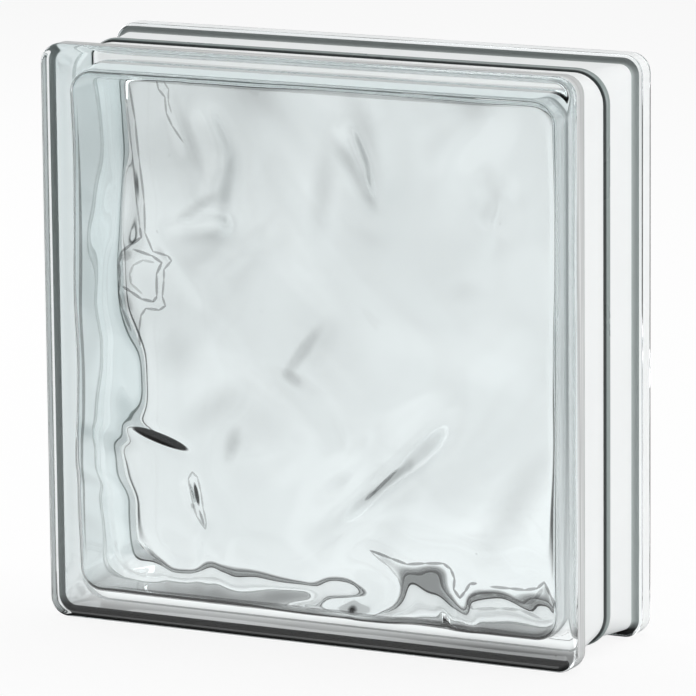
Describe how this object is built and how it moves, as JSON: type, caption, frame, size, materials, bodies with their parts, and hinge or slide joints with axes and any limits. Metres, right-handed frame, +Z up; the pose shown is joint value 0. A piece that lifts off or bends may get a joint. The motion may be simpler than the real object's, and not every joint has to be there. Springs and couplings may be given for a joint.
{
  "type": "glass block",
  "caption": "Square hollow glass building block of two pressed dishes fused at mid depth, with a wavy see-through face, a proud lip and a recessed mortar band.",
  "frame": {"origin": "middle of the footprint, at the lowest point of the lips of the bottom edge", "axes": "+Z up along the height, +X across the width, +Y through the thickness from the front face to the rear face"},
  "size_m": [0.19, 0.06, 0.19],
  "materials": {
    "pressed_glass": "clear pressed glass with a faint cool tint, fire polished, with a thin pale coat on the mortar band and the lip edges"
  },
  "bodies": {
    "root": {"front_dish": "pressed_glass", "rear_dish": "pressed_glass"}
  },
  "joints": []
}
